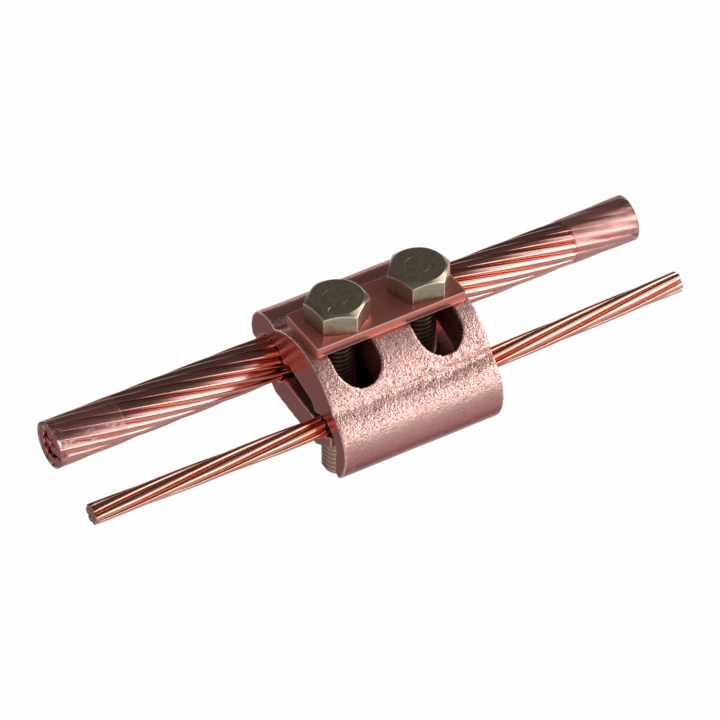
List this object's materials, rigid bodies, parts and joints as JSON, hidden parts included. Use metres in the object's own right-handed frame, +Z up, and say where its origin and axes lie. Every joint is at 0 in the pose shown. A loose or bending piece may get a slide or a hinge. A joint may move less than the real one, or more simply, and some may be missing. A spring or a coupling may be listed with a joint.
{
  "type": "parallel connector",
  "caption": "Parallel-groove connector: a cast copper shell, a lower jaw, a pressure plate and hexagon bolts clamp a thick and a thin stranded copper conductor side by side.",
  "frame": {"origin": "on the axis of the main conductor, in the middle of its left tape band", "axes": "+X along the conductors to the right, +Y to the back, +Z up along the bolts"},
  "size_m": [0.1518, 0.041, 0.0496],
  "materials": {
    "cast_copper": "satin copper with a fine sand-cast grain, end faces smooth",
    "rolled_copper": "smooth, softly reflecting copper",
    "bolt_steel": "satin stainless steel with a warm tone",
    "copper_wire": "bright drawn copper",
    "clear_tape": "clear tape with a faint haze"
  },
  "bodies": {
    "clamp": {"upper_shell": "cast_copper", "pressure_plate": "rolled_copper", "main_conductor": "copper_wire", "tap_conductor": "copper_wire", "tape_left": "clear_tape", "tape_right": "clear_tape"},
    "left_bolt": {"bolt_left": "bolt_steel"},
    "right_bolt": {"bolt_right": "bolt_steel"},
    "jaw": {"lower_jaw": "cast_copper"}
  },
  "joints": [
    {"name": "left_bolt_turn", "type": "hinge", "parent": "clamp", "child": "left_bolt", "pos_m": [0.0587, -0.01067, 0.015], "axis": [0, 0, 1], "range_deg": [0, 3600]},
    {"name": "right_bolt_turn", "type": "hinge", "parent": "clamp", "child": "right_bolt", "pos_m": [0.0797, -0.01067, 0.015], "axis": [0, 0, 1], "range_deg": [0, 3600]},
    {"name": "jaw_travel", "type": "slide", "parent": "clamp", "child": "jaw", "axis": [0, 0, -1], "range_m": [0, 0.0125]}
  ],
  "couplings": [
    {"joint": "right_bolt_turn", "follows": "left_bolt_turn", "ratio": 1},
    {"joint": "jaw_travel", "follows": "left_bolt_turn", "m_per_rad": 0.00019894}
  ]
}
